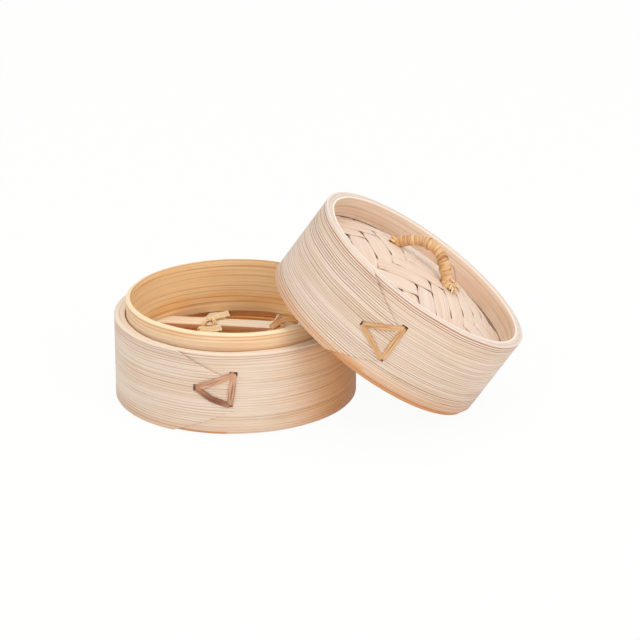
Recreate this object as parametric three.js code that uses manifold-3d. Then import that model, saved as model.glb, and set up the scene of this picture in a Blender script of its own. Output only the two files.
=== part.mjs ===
// A small bamboo steamer: one tier and its lid, which is taken off and leans on the tier's rim.
// Millimetres, +Z up. The origin is the middle of the whole outline, on the table.
// Round the tier and the lid, an angle is counted in degrees from the front (-Y) towards +X.

import * as THREE from 'three';
import { mergeVertices } from 'three/addons/utils/BufferGeometryUtils.js';
import Module from 'manifold-3d';

const wasm = await Module();
wasm.setup();

// Clearances
const seatGap = 0.3;            // between two pieces that bear on each other
const turnGap = 0.25;           // between the two turns of a wound hoop
const roundSegments = 60;       // facets round a hoop
const cutOverrun = 1;           // of a cut past the faces it goes through

// Strip hoops: a hoop is one strip wound twice, with both its ends shaved thin
const stripTip = 0.35;          // thickness left at a shaved end
const shavedAngle = 40;         // degrees over which an end thins down
const edgeRounding = 0.6;       // worn outer edges of the hoops

// Tier, outer hoop
const tierRadius = 50;
const tierHeight = 35;
const tierStripThickness = 1.95;
const tierTongue = { end: -1, endTop: 25.5, endFoot: 11, top: -29.5, foot: -31 };

// Tier, collar that the lid slips over, and the hoop that carries the grate
const collarThickness = 1.8;
const collarRise = 7;
const collarRounding = 0.5;
const stackingClearance = 1;    // above the collar of a tier stacked below

// Grate of slats on two cross bars
const grateTurn = -10;          // degrees
const grateTop = 20.3;          // height of the slats' upper faces
const slatCount = 4;
const slatWidth = 8.8;
const slatThickness = 2;
const slatPitch = 16.4;
const barWidth = 8.5;
const barThickness = 2;
const barSpacing = 29.2;
const grateEndGap = 0.6;        // between the ends of slats or bars and the outer hoop
const endSegments = 4;          // facets along the round-cut end of a slat or bar
const lashingWidth = 1.8;
const lashingThickness = 0.8;
const lashingLeg = 1.2;

// Lid, outer hoop and the two rings that trap the woven panel
const lidRadius = 48.75;
const lidHeight = 37.5;
const lidStripThickness = 1;
const lidTongue = { end: -6, endTop: 24, endFoot: 10, top: -35.6, foot: -31 };
const lidRingThickness = 1;
const lidRingClearance = 1;     // between the lower ring and the collar of a closed steamer

// Lid, domed panel of woven strips over a leaf liner and a second weave
const panelEdgeDepth = 10;      // of the panel's edge below the lid's top
const panelCrownDepth = 0.1;    // of the panel's middle below the lid's top
const weaveThickness = 1.2;
const linerThickness = 0.5;
const panelRings = 5;           // facets from the middle of the panel to its edge
const panelSegments = 36;       // and round it

// Handle: a rattan loop through the panel, wound with a strip
const handleTurn = -30.5;       // degrees, its direction across the lid
const handleX = -1.3;
const handleY = 4.2;
const handleSpan = 30.8;
const handleRise = 8.8;         // of the arch above the bindings round its feet
const handleSlimness = 2.2;     // shape of the arch: 1 is round, and 2 a parabola
const handleCoreRadius = 0.75;
const handleCornerRadius = 2;
const handleHoleGap = 0.3;
const holeSegments = 10;
const coreSides = 6;
const wrapTurns = 18;
const wrapRadius = 0.5;         // of the winding strip, taken as a round one
const wrapGap = 0.25;           // between the winding and the core
const wrapSteps = 10;           // points on one turn
const wrapSides = 5;
const bindingRadius = 2.6;
const bindingThickness = 0.9;
const bindingSegments = 12;

// Stitches of flat rattan through the hoops' laps: the angle of each corner in degrees,
// with its height on the tier and its depth below the top on the lid
const tierStitchLeftAngle = -18.7;
const tierStitchLeftHeight = 19.8;
const tierStitchUpperAngle = -1.4;
const tierStitchUpperHeight = 26.5;
const tierStitchLowerAngle = -2.9;
const tierStitchLowerHeight = 13.6;
const lidStitchLeftAngle = -23.9;
const lidStitchLeftDepth = 19.5;
const lidStitchUpperAngle = -7.4;
const lidStitchUpperDepth = 10.7;
const lidStitchLowerAngle = -7;
const lidStitchLowerDepth = 26.2;
const strandWidth = 2.6;
const strandThickness = 0.8;
const pegSize = 1.6;            // where a strand goes through the wall
const bendStep = 3;             // of a strand's facets round the wall

// Lid's place: it leans with its edge on the table and its skirt against the collar
const leanTilt = 34.9;          // degrees from upright
const leanHeading = -3.9;       // degrees, the way it leans, from +X
const leanSideways = -15.4;     // of the lid's middle in front of the tier's
const leanGap = 0.3;
const leanSearchStep = 0.5;
const leanPrecision = 0.001;
const leanSamples = 360;

// Colours
const bamboo = { color: 0xe9cba6, roughness: 0.6, metalness: 0 };
const innerBamboo = { color: 0xdfae78, roughness: 0.6, metalness: 0 };
const wovenBamboo = { color: 0xecd3b2, roughness: 0.65, metalness: 0 };
const dullRattan = { color: 0xa9806a, roughness: 0.7, metalness: 0 };
const goldenRattan = { color: 0xc08a4a, roughness: 0.6, metalness: 0 };
const leaf = { color: 0xb9ab7c, roughness: 0.8, metalness: 0 };

// Sizes that follow
const stripStep = stripTip + turnGap;
const tierWall = wallThickness(tierStripThickness);
const collarOuter = tierRadius - tierWall - seatGap;
const collarInner = collarOuter - collarThickness;
const collarTop = tierHeight + collarRise;
const collarFoot = grateTop + seatGap;
const slatFoot = grateTop - slatThickness;
const barTop = slatFoot - seatGap;
const barFoot = barTop - barThickness;
const carrierTop = barFoot - seatGap;
const carrierFoot = collarRise + stackingClearance;
const grateRadius = tierRadius - tierWall - grateEndGap;
const lidWall = wallThickness(lidStripThickness);
const lidRingOuter = lidRadius - lidWall - seatGap;
const lidRingInner = lidRingOuter - lidRingThickness;
const lidRingFoot = collarRise + lidRingClearance;
const panelThickness = 2 * weaveThickness + linerThickness + 2 * seatGap;
const panelEdgeTop = lidHeight - panelEdgeDepth;
const domeRadius = lidRingInner - seatGap;
const tierStitchCorners = [
  [tierStitchLeftAngle, tierStitchLeftHeight],
  [tierStitchUpperAngle, tierStitchUpperHeight],
  [tierStitchLowerAngle, tierStitchLowerHeight],
];
const lidStitchCorners = [
  [lidStitchLeftAngle, lidHeight - lidStitchLeftDepth],
  [lidStitchUpperAngle, lidHeight - lidStitchUpperDepth],
  [lidStitchLowerAngle, lidHeight - lidStitchLowerDepth],
];

function radians(degrees) {
  return THREE.MathUtils.degToRad(degrees);
}

// Wall of a strip hoop: two turns, the gap between them and the step at the lap
function wallThickness(strip) {
  return 2 * strip + turnGap + stripStep;
}

function toSolid(geometry) {
  const bare = geometry.clone();
  bare.deleteAttribute('normal');
  bare.deleteAttribute('uv');
  const merged = mergeVertices(bare, 1e-5);
  const mesh = new wasm.Mesh({
    numProp: 3,
    vertProperties: new Float32Array(merged.attributes.position.array),
    triVerts: new Uint32Array(merged.index.array),
  });
  return new wasm.Manifold(mesh);
}

function toGeometry(solid) {
  const mesh = solid.getMesh();
  const geometry = new THREE.BufferGeometry();
  geometry.setAttribute('position', new THREE.BufferAttribute(mesh.vertProperties, 3));
  geometry.setIndex(new THREE.BufferAttribute(mesh.triVerts, 1));
  return geometry;
}

function piece(name, solid, finish) {
  const geometry = solid.isBufferGeometry ? solid : toGeometry(solid);
  const mesh = new THREE.Mesh(geometry, new THREE.MeshStandardMaterial(finish));
  mesh.name = name;
  return mesh;
}

function joined(geometries) {
  const solids = geometries.map(toSolid);
  return solids.reduce((whole, next) => whole.add(next));
}

// A point at an angle from the front, a radius and a height
function around(angle, radius, height) {
  return [radius * Math.sin(angle), -radius * Math.cos(angle), height];
}

// Moves every vertex of a geometry by a rule
function reshaped(geometry, rule) {
  const position = geometry.attributes.position;
  for (let i = 0; i < position.count; i += 1) {
    const [x, y, z] = rule(position.getX(i), position.getY(i), position.getZ(i));
    position.setXYZ(i, x, y, z);
  }
  return geometry;
}

// A plain ring, its profile turned once round the axis
function ring(inner, outer, foot, top, topRounding) {
  const profile = [
    new THREE.Vector2(inner, foot),
    new THREE.Vector2(outer, foot),
    new THREE.Vector2(outer, top - topRounding),
    new THREE.Vector2(outer - topRounding, top),
    new THREE.Vector2(inner + topRounding, top),
    new THREE.Vector2(inner, top - topRounding),
    new THREE.Vector2(inner, foot),
  ];
  const sharp = topRounding > 0 ? profile : [profile[0], profile[1], profile[2], profile[5], profile[0]];
  return turned(sharp, roundSegments);
}

function turned(profile, segments) {
  const lathe = new THREE.LatheGeometry(profile, segments);
  lathe.rotateX(Math.PI / 2);
  return lathe;
}

// The strip's thickness and outer radius after a number of turns from its outer end
function stripAt(radius, strip, turns) {
  const fromEnd = Math.min(turns, 2 - turns) * 360;
  const thickness = stripTip + (strip - stripTip) * THREE.MathUtils.smoothstep(fromEnd, 0, shavedAngle);
  if (turns <= 1) {
    return { outer: radius - stripStep * turns, thickness };
  }
  const above = stripAt(radius, strip, turns - 1);
  return { outer: above.outer - above.thickness - turnGap, thickness };
}

// A hoop wound from one strip, its outer end cut to a tongue
function stripHoop(radius, strip, height, tongue) {
  const outside = [];
  const inside = [];
  const steps = 2 * roundSegments;
  for (let i = 0; i <= steps; i += 1) {
    const turns = (2 * i) / steps;
    const at = stripAt(radius, strip, turns);
    const angle = radians(tongue.end) - 2 * Math.PI * turns;
    const [ox, oy] = around(angle, at.outer, 0);
    const [ix, iy] = around(angle, at.outer - at.thickness, 0);
    outside.push(new THREE.Vector2(ox, oy));
    inside.push(new THREE.Vector2(ix, iy));
  }
  const plan = new THREE.Shape(outside.concat(inside.reverse()));
  const wound = new THREE.ExtrudeGeometry(plan, { depth: height, bevelEnabled: false });
  const worn = turned([
    new THREE.Vector2(0, 0),
    new THREE.Vector2(radius - edgeRounding, 0),
    new THREE.Vector2(radius + seatGap, edgeRounding + seatGap),
    new THREE.Vector2(radius + seatGap, height - edgeRounding - seatGap),
    new THREE.Vector2(radius - edgeRounding, height),
    new THREE.Vector2(0, height),
  ], roundSegments);
  return toSolid(wound)
    .intersect(toSolid(worn))
    .subtract(tongueCut(radius, strip, tongue, tongue.top, tongue.endTop, height, height + cutOverrun))
    .subtract(tongueCut(radius, strip, tongue, tongue.foot, tongue.endFoot, 0, -cutOverrun));
}

// What is cut from one corner of the outer end: down to the middle of the gap under it,
// and past a sloping line from the strip's edge to the end
function tongueCut(radius, strip, tongue, edgeAngle, endHeight, edgeHeight, beyond) {
  const steps = 10;
  const block = new THREE.BoxGeometry(1, 1, 1, steps, 1, 1);
  block.translate(0.5, 0.5, 0.5);
  const down = beyond < edgeHeight;
  return toSolid(reshaped(block, (along, up, out) => {
    const angle = edgeAngle + (tongue.end + cutOverrun - edgeAngle) * along;
    const slope = (endHeight - edgeHeight) / (tongue.end - edgeAngle);
    const line = edgeHeight + slope * (angle - edgeAngle);
    const turns = Math.max(0, (tongue.end - angle) / 360);
    const at = stripAt(radius, strip, turns);
    const under = at.outer - at.thickness - turnGap / 2;
    const height = down ? beyond + (line - beyond) * up : line + (beyond - line) * up;
    return around(radians(angle), under + (radius + cutOverrun - under) * out, height);
  }));
}

// A flat box bent round the axis: width along the arc, height up, depth outwards
function bentBox(radius, width, height, depth, spin, arc, level) {
  const steps = Math.max(1, Math.round(width / bendStep));
  const box = new THREE.BoxGeometry(width, height, depth, steps, 1, 1);
  box.rotateZ(spin);
  box.translate(arc, level, depth / 2);
  return reshaped(box, (x, y, z) => around(x / radius, radius + z, y));
}

// A strand from one corner to another, on the outside or the inside of a wall
function strand(radius, from, to) {
  const rise = to[1] - from[1];
  const run = radians(to[0] - from[0]) * radius;
  const arc = (radians(from[0] + to[0]) * radius) / 2;
  const width = Math.hypot(run, rise) + pegSize;
  const level = (from[1] + to[1]) / 2;
  return bentBox(radius, width, strandWidth, strandThickness, Math.atan2(rise, run), arc, level);
}

// A square peg, or the hole for it, through a wall
function throughWall(inner, outer, corner, size) {
  const arc = radians(corner[0]) * inner;
  return bentBox(inner, size, size, outer - inner, 0, arc, corner[1]);
}

// Three strands outside, pegs through the wall, and strands inside between some corners
function stitch(outerRadius, innerRadius, corners, insideRuns, pegEnds) {
  const outside = outerRadius + seatGap;
  const inside = innerRadius - seatGap - strandThickness;
  const next = (i) => corners[(i + 1) % corners.length];
  const parts = corners.map((corner, i) => strand(outside, corner, next(i)));
  corners.forEach((corner, i) => {
    parts.push(throughWall(pegEnds[i] ?? inside, outside + strandThickness / 2, corner, pegSize));
  });
  insideRuns.forEach(([a, b]) => parts.push(strand(inside, corners[a], corners[b])));
  return joined(parts);
}

// Holes for a stitch's pegs
function withHoles(solid, corners, innerRadius, outerRadius) {
  const size = pegSize + 2 * seatGap;
  const inner = innerRadius - cutOverrun;
  const outer = outerRadius + cutOverrun;
  const holes = corners.map((corner) => toSolid(throughWall(inner, outer, corner, size)));
  return holes.reduce((left, hole) => left.subtract(hole), solid);
}

// A flat strip of the grate across the tier at a distance from its middle, with round-cut ends
function grateStrip(offset, width, thickness, foot) {
  const low = offset - width / 2;
  const high = offset + width / 2;
  const lowAngle = Math.asin(low / grateRadius);
  const highAngle = Math.asin(high / grateRadius);
  const plan = new THREE.Shape();
  plan.absarc(0, 0, grateRadius, lowAngle, highAngle, false);
  plan.absarc(0, 0, grateRadius, Math.PI - highAngle, Math.PI - lowAngle, false);
  const options = { depth: thickness, bevelEnabled: false, curveSegments: endSegments };
  const strip = new THREE.ExtrudeGeometry(plan, options);
  strip.translate(0, 0, foot);
  return strip;
}

// Rattan that ties a slat to a bar: crossed above the slat, down past both, and under the bar
function lashing() {
  const legX = barWidth / 2 + seatGap + lashingLeg / 2;
  const legY = slatWidth / 2 + seatGap + lashingLeg / 2;
  const topFoot = grateTop + seatGap;
  const underTop = barFoot - seatGap;
  const top = topFoot + lashingThickness;
  const foot = underTop - lashingThickness;
  const across = Math.hypot(2 * legX, 2 * legY);
  const parts = [];
  [-1, 1].forEach((side) => {
    const diagonal = new THREE.BoxGeometry(across, lashingWidth, lashingThickness);
    diagonal.rotateZ(side * Math.atan2(legY, legX));
    diagonal.translate(0, 0, (topFoot + top) / 2);
    const under = new THREE.BoxGeometry(2 * legX, lashingLeg, lashingThickness);
    under.translate(0, side * legY, (foot + underTop) / 2);
    parts.push(diagonal, under);
    [-1, 1].forEach((end) => {
      const leg = new THREE.BoxGeometry(lashingLeg, lashingLeg, top - foot);
      leg.translate(end * legX, side * legY, (foot + top) / 2);
      parts.push(leg);
    });
  });
  return toGeometry(joined(parts));
}

// Height of the panel's top surface at a distance from the lid's axis: flat between the rings
function panelTop(radius) {
  const drop = panelEdgeDepth - panelCrownDepth;
  return lidHeight - panelCrownDepth - drop * Math.min(1, radius / domeRadius) ** 2;
}

// One domed layer of the panel, at a depth under its top surface, with the handle's two holes
function panelLayer(depth, thickness) {
  const radii = [];
  for (let i = 0; i <= panelRings; i += 1) {
    radii.push((domeRadius * i) / panelRings);
  }
  radii.push(lidRingOuter);
  const under = radii.map((radius) => new THREE.Vector2(radius, panelTop(radius) - depth - thickness));
  const over = radii.map((radius) => new THREE.Vector2(radius, panelTop(radius) - depth));
  const profile = under.concat(over.reverse());
  const holeRadius = handleCoreRadius + handleHoleGap;
  return handleFeet().reduce((left, foot) => {
    const hole = new THREE.CylinderGeometry(holeRadius, holeRadius, lidHeight, holeSegments);
    hole.rotateX(Math.PI / 2);
    hole.translate(foot.x, foot.y, lidHeight / 2);
    return left.subtract(toSolid(hole));
  }, toSolid(turned(profile, panelSegments)));
}

// The handle's plane: a point from a distance along its direction and a height
function handlePoint(along, height) {
  const turn = radians(handleTurn);
  return new THREE.Vector3(handleX + along * Math.cos(turn), handleY + along * Math.sin(turn), height);
}

function handleFeet() {
  return [handlePoint(-handleSpan / 2, 0), handlePoint(handleSpan / 2, 0)];
}

// Height of the panel's top at the outer side of a foot's binding
function panelAtFoot(foot) {
  return panelTop(Math.max(0, Math.hypot(foot.x, foot.y) - bindingRadius));
}

// The arch's middle line, from 0 at the left foot to 1 at the right
function archPoint(share) {
  const turn = Math.PI * share;
  const [left, right] = handleFeet().map((foot) => panelAtFoot(foot) + 2 * seatGap + bindingThickness);
  const height = left + (right - left) * share + handleRise * Math.sin(turn) ** handleSlimness;
  return handlePoint((-handleSpan / 2) * Math.cos(turn), height);
}

// The whole loop: the arch, the legs through the panel and the run below it
function handleLoop() {
  const archSteps = 24;
  const cornerSteps = 4;
  const half = handleSpan / 2;
  const under = Math.min(...handleFeet().map((foot) => panelTop(Math.hypot(foot.x, foot.y))));
  const run = under - panelThickness - seatGap - handleCoreRadius;
  const points = [];
  for (let i = 0; i <= archSteps; i += 1) {
    points.push(archPoint(i / archSteps));
  }
  for (let i = 0; i <= cornerSteps; i += 1) {
    const turn = ((Math.PI / 2) * i) / cornerSteps;
    const inwards = handleCornerRadius * (1 - Math.cos(turn));
    points.push(handlePoint(half - inwards, run + handleCornerRadius * (1 - Math.sin(turn))));
  }
  for (let i = cornerSteps; i >= 0; i -= 1) {
    const turn = ((Math.PI / 2) * i) / cornerSteps;
    const inwards = handleCornerRadius * (1 - Math.cos(turn));
    points.push(handlePoint(inwards - half, run + handleCornerRadius * (1 - Math.sin(turn))));
  }
  return points;
}

// Joins rings of points into one closed tube; an open tube gets flat ends
function loft(rings, closed) {
  const sides = rings[0].length;
  const positions = rings.flat().flatMap((p) => [p.x, p.y, p.z]);
  const index = [];
  const spans = closed ? rings.length : rings.length - 1;
  for (let i = 0; i < spans; i += 1) {
    for (let k = 0; k < sides; k += 1) {
      const a = i * sides + k;
      const b = i * sides + ((k + 1) % sides);
      const c = ((i + 1) % rings.length) * sides + k;
      const d = ((i + 1) % rings.length) * sides + ((k + 1) % sides);
      index.push(a, b, c, b, d, c);
    }
  }
  if (!closed) {
    const last = (rings.length - 1) * sides;
    for (let k = 1; k < sides - 1; k += 1) {
      index.push(0, k + 1, k, last, last + k, last + k + 1);
    }
  }
  const geometry = new THREE.BufferGeometry();
  geometry.setAttribute('position', new THREE.Float32BufferAttribute(positions, 3));
  geometry.setIndex(index);
  return geometry;
}

// A round section at a point of a path, in the plane of two directions
function section(centre, first, second, radius, sides) {
  const points = [];
  for (let k = 0; k < sides; k += 1) {
    const turn = (2 * Math.PI * k) / sides;
    points.push(centre.clone()
      .addScaledVector(first, radius * Math.cos(turn))
      .addScaledVector(second, radius * Math.sin(turn)));
  }
  return points;
}

function handleNormal() {
  const turn = radians(handleTurn);
  return new THREE.Vector3(-Math.sin(turn), Math.cos(turn), 0);
}

function handleCore() {
  const path = handleLoop();
  const across = handleNormal();
  const rings = path.map((point, i) => {
    const before = path[(i + path.length - 1) % path.length];
    const after = path[(i + 1) % path.length];
    const along = after.clone().sub(before).normalize();
    const up = across.clone().cross(along);
    return section(point, up, across, handleCoreRadius, coreSides);
  });
  return loft(rings, true);
}

// The winding: one strip round the arch, from one binding to the other
function wrapPath() {
  const steps = wrapTurns * wrapSteps;
  const line = [];
  const fine = 400;
  for (let i = 0; i <= fine; i += 1) {
    line.push(archPoint(i / fine));
  }
  const arch = new THREE.CatmullRomCurve3(line);
  arch.arcLengthDivisions = fine;
  const length = arch.getLength();
  const reach = wrapRadius + handleCoreRadius + wrapGap;
  const start = (seatGap + reach + wrapRadius) / length;
  const across = handleNormal();
  const points = [];
  for (let i = 0; i <= steps; i += 1) {
    const share = start + ((1 - 2 * start) * i) / steps;
    const along = arch.getTangentAt(share);
    const up = across.clone().cross(along);
    const turn = (2 * Math.PI * i) / wrapSteps;
    const outwards = up.multiplyScalar(Math.cos(turn)).addScaledVector(across, Math.sin(turn));
    points.push({ centre: arch.getPointAt(share).addScaledVector(outwards, reach), outwards });
  }
  return points;
}

function handleWrap() {
  const path = wrapPath();
  const rings = path.map((point, i) => {
    const before = path[Math.max(0, i - 1)].centre;
    const after = path[Math.min(path.length - 1, i + 1)].centre;
    const along = after.clone().sub(before).normalize();
    const side = along.clone().cross(point.outwards).normalize();
    return section(point.centre, side.clone().cross(along), side, wrapRadius, wrapSides);
  });
  let least = Infinity;
  path.forEach((a, i) => {
    for (let j = i + wrapSteps - 2; j < path.length; j += 1) {
      least = Math.min(least, a.centre.distanceTo(path[j].centre));
    }
  });
  console.log(`handle winding: least gap between its turns ${(least - 2 * wrapRadius).toFixed(2)} mm`);
  return loft(rings, false);
}

// Binding turns round a leg of the handle, lying on the panel
function handleBinding(foot) {
  const inner = handleCoreRadius + seatGap;
  const level = panelAtFoot(foot) + seatGap;
  const profile = [
    new THREE.Vector2(inner, level),
    new THREE.Vector2(bindingRadius, level),
    new THREE.Vector2(bindingRadius, level + bindingThickness / 2),
    new THREE.Vector2(inner, level + bindingThickness),
    new THREE.Vector2(inner, level),
  ];
  const binding = turned(profile, bindingSegments);
  binding.translate(foot.x, foot.y, 0);
  return binding;
}

function tier() {
  const group = new THREE.Group();
  const corners = tierStitchCorners;
  const bored = (solid) => withHoles(solid, corners, collarInner, tierRadius);
  const hoop = stripHoop(tierRadius, tierStripThickness, tierHeight, tierTongue);
  const collar = toSolid(ring(collarInner, collarOuter, collarFoot, collarTop, collarRounding));
  const carrier = toSolid(ring(collarInner, collarOuter, carrierFoot, carrierTop, 0));
  group.add(piece('tier_outer_hoop', bored(hoop), bamboo));
  group.add(piece('tier_collar', bored(collar), innerBamboo));
  group.add(piece('tier_lower_hoop', bored(carrier), innerBamboo));
  group.add(piece('tier_stitch', stitch(tierRadius, collarInner, corners, [[1, 2]], []), dullRattan));
  group.add(grate());
  return group;
}

function grate() {
  const group = new THREE.Group();
  const firstSlat = (-slatPitch * (slatCount - 1)) / 2;
  const bars = { left: -barSpacing / 2, right: barSpacing / 2 };
  for (let i = 0; i < slatCount; i += 1) {
    const offset = firstSlat + slatPitch * i;
    const slat = grateStrip(offset, slatWidth, slatThickness, slatFoot);
    group.add(piece(`grate_slat_${i + 1}`, slat, bamboo));
    Object.entries(bars).forEach(([side, along]) => {
      const tie = piece(`grate_lashing_${i + 1}_${side}`, lashing(), goldenRattan);
      tie.position.set(along, offset, 0);
      group.add(tie);
    });
  }
  Object.entries(bars).forEach(([side, along]) => {
    const strip = grateStrip(-along, barWidth, barThickness, barFoot);
    const bar = piece(`grate_bar_${side}`, strip, innerBamboo);
    bar.rotation.z = Math.PI / 2;
    group.add(bar);
  });
  group.rotation.z = radians(grateTurn);
  return group;
}

function lid() {
  const group = new THREE.Group();
  const corners = lidStitchCorners;
  const bored = (solid) => withHoles(solid, corners, lidRingInner, lidRadius);
  const hoop = stripHoop(lidRadius, lidStripThickness, lidHeight, lidTongue);
  const topRingFoot = panelEdgeTop + seatGap;
  const lowerRingTop = panelEdgeTop - panelThickness - seatGap;
  const topRing = ring(lidRingInner, lidRingOuter, topRingFoot, lidHeight, 0);
  const lowerRing = toSolid(ring(lidRingInner, lidRingOuter, lidRingFoot, lowerRingTop, 0));
  // The upper corner's strand ends between the hoop and the panel's edge
  const pegEnds = [null, lidRadius - lidWall];
  const laced = stitch(lidRadius, lidRingInner, corners, [[2, 0]], pegEnds);
  const layers = [
    ['lid_woven_top', 0, weaveThickness, wovenBamboo],
    ['lid_leaf_liner', weaveThickness + seatGap, linerThickness, leaf],
    ['lid_woven_underside', panelThickness - weaveThickness, weaveThickness, wovenBamboo],
  ];
  group.add(piece('lid_outer_hoop', bored(hoop), bamboo));
  group.add(piece('lid_top_ring', topRing, innerBamboo));
  group.add(piece('lid_lower_ring', bored(lowerRing), innerBamboo));
  layers.forEach(([name, depth, thickness, finish]) => {
    group.add(piece(name, panelLayer(depth, thickness), finish));
  });
  group.add(piece('lid_handle_core', handleCore(), goldenRattan));
  group.add(piece('lid_handle_wrap', handleWrap(), goldenRattan));
  handleFeet().forEach((foot, i) => {
    group.add(piece(`lid_handle_binding_${['left', 'right'][i]}`, handleBinding(foot), goldenRattan));
  });
  group.add(piece('lid_stitch', laced, goldenRattan));
  return group;
}

// The lid's directions when it leans: downhill, across and along its axis
function leanDirections() {
  const tilt = radians(leanTilt);
  const heading = radians(leanHeading);
  const axis = new THREE.Vector3(
    Math.sin(tilt) * Math.cos(heading),
    Math.sin(tilt) * Math.sin(heading),
    Math.cos(tilt),
  );
  const downhill = new THREE.Vector3(1, 0, 0).addScaledVector(axis, -axis.x).normalize();
  return { downhill, across: axis.clone().cross(downhill), axis };
}

// Distance from a point to a ring, negative inside it
function toRing(radius, height, ringSize) {
  const [inner, outer, foot, top] = ringSize;
  const sideways = Math.max(inner - radius, radius - outer);
  const upwards = Math.max(foot - height, height - top);
  const outside = Math.hypot(Math.max(sideways, 0), Math.max(upwards, 0));
  return outside + Math.min(Math.max(sideways, upwards), 0);
}

// Least distance between the tier's rims and the lid's skirt, with the lid's middle at x
function leanClearance(x, directions) {
  const tierRings = [
    [collarInner, collarOuter, collarFoot, collarTop],
    [tierRadius - tierWall, tierRadius, 0, tierHeight],
  ];
  const lidRings = [
    [lidRadius - lidWall, lidRadius, 0, lidHeight],
    [lidRingInner, lidRadius, lidRingFoot, lidHeight],
  ];
  const middle = new THREE.Vector3(x, leanSideways, leanDrop());
  let least = Infinity;
  for (let i = 0; i < leanSamples; i += 1) {
    const angle = (2 * Math.PI * i) / leanSamples;
    tierRings.forEach(([inner, outer, , top]) => {
      [inner, outer].forEach((radius) => {
        const local = new THREE.Vector3(...around(angle, radius, top)).sub(middle);
        const height = local.dot(directions.axis);
        const reach = Math.hypot(local.dot(directions.downhill), local.dot(directions.across));
        lidRings.forEach((size) => {
          least = Math.min(least, toRing(reach, height, size));
        });
      });
    });
    [lidRadius - lidWall, lidRadius].forEach((radius) => {
      const point = middle.clone()
        .addScaledVector(directions.downhill, radius * Math.cos(angle))
        .addScaledVector(directions.across, radius * Math.sin(angle));
      tierRings.forEach((size) => {
        least = Math.min(least, toRing(Math.hypot(point.x, point.y), point.z, size));
      });
    });
  }
  return least;
}

// Height of the middle of the lid's lower edge when its lowest point is on the table
function leanDrop() {
  return lidRadius * Math.sin(radians(leanTilt));
}

// The lid is slid in from the side until its skirt nearly touches the tier
function leaningLid() {
  const group = lid();
  const directions = leanDirections();
  let clear = tierRadius + lidRadius;
  while (leanClearance(clear - leanSearchStep, directions) >= leanGap) {
    clear -= leanSearchStep;
  }
  let touching = clear - leanSearchStep;
  while (clear - touching > leanPrecision) {
    const middle = (clear + touching) / 2;
    if (leanClearance(middle, directions) >= leanGap) {
      clear = middle;
    } else {
      touching = middle;
    }
  }
  const basis = new THREE.Matrix4().makeBasis(directions.downhill, directions.across, directions.axis);
  group.quaternion.setFromRotationMatrix(basis);
  group.position.set(clear, leanSideways, leanDrop());
  return group;
}

const steamer = new THREE.Group();
steamer.add(tier());
steamer.add(leaningLid());
steamer.updateMatrixWorld(true);
const outline = new THREE.Box3().setFromObject(steamer, true);
const middle = outline.getCenter(new THREE.Vector3());
steamer.position.set(-middle.x, -middle.y, -outline.min.z);

export default steamer;
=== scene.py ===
# A small bamboo steamer: one tier with a slatted grate, and its woven lid leaning on the tier's
# collar. Metres, +Z up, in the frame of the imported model. Round the tier and the lid an angle is
# counted from the front, which is -Y, towards +X.

import bisect
import math
import random

import bmesh
import bpy
from mathutils import Matrix, Vector, noise


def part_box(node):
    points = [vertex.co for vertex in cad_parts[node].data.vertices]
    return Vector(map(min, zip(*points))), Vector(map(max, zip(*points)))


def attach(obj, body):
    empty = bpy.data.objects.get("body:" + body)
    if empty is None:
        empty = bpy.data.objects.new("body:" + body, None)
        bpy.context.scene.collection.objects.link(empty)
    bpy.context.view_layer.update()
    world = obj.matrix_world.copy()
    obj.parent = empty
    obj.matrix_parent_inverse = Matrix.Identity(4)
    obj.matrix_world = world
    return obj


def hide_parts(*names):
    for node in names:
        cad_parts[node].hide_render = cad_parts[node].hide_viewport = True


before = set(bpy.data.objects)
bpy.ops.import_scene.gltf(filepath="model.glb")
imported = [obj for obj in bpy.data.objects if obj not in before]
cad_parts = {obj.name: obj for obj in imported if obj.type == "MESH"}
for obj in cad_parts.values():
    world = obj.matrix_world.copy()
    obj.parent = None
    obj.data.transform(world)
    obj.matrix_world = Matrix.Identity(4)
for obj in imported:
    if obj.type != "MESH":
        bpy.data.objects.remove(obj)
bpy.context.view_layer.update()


# Camera: a long lens in front of the tier and above it, turned a little to the right.
# Its distance and angles come from the outlines of the tier and the lid in the photograph.
mm = 0.001
collar_low, collar_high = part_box("tier_collar")
tier_middle = (collar_low + collar_high) / 2
tier_middle.z = 0
camera_distance = 1276.7 * mm
camera_climb = math.radians(22.2)
camera_pitch = math.radians(20.92)
camera_yaw = math.radians(1.69)
focal_pixels = 3063.6
photo_pixels = 640


def in_scene(name, data):
    thing = bpy.data.objects.new(name, data)
    bpy.context.scene.collection.objects.link(thing)
    return thing


camera_data = bpy.data.cameras.new("camera")
camera_data.lens = camera_data.sensor_width * focal_pixels / photo_pixels
camera = in_scene("camera", camera_data)
back_and_up = Vector((0, -math.cos(camera_climb), math.sin(camera_climb)))
camera.location = tier_middle + camera_distance * back_and_up
camera.rotation_euler = (math.radians(90) - camera_pitch, 0, -camera_yaw)
bpy.context.scene.camera = camera


# Floor and light: a plain pale floor that keeps a faint shadow, soft lamps in front, above and at
# both sides, and pale light from all round.
floor_radius = 4
floor_sides = 96
floor_drop = 0.05 * mm
floor_own_white = 0.95
white = (1, 1, 1, 1)


def settle(shape, name):
    """Makes a mesh of a bmesh, which is then thrown away"""
    mesh = bpy.data.meshes.new(name)
    shape.to_mesh(mesh)
    shape.free()
    return mesh


floor_disc = bmesh.new()
bmesh.ops.create_circle(floor_disc, cap_ends=True, segments=floor_sides, radius=floor_radius)
bmesh.ops.translate(floor_disc, vec=(0, 0, -floor_drop), verts=floor_disc.verts)
floor = in_scene("floor", settle(floor_disc, "floor"))


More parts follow.
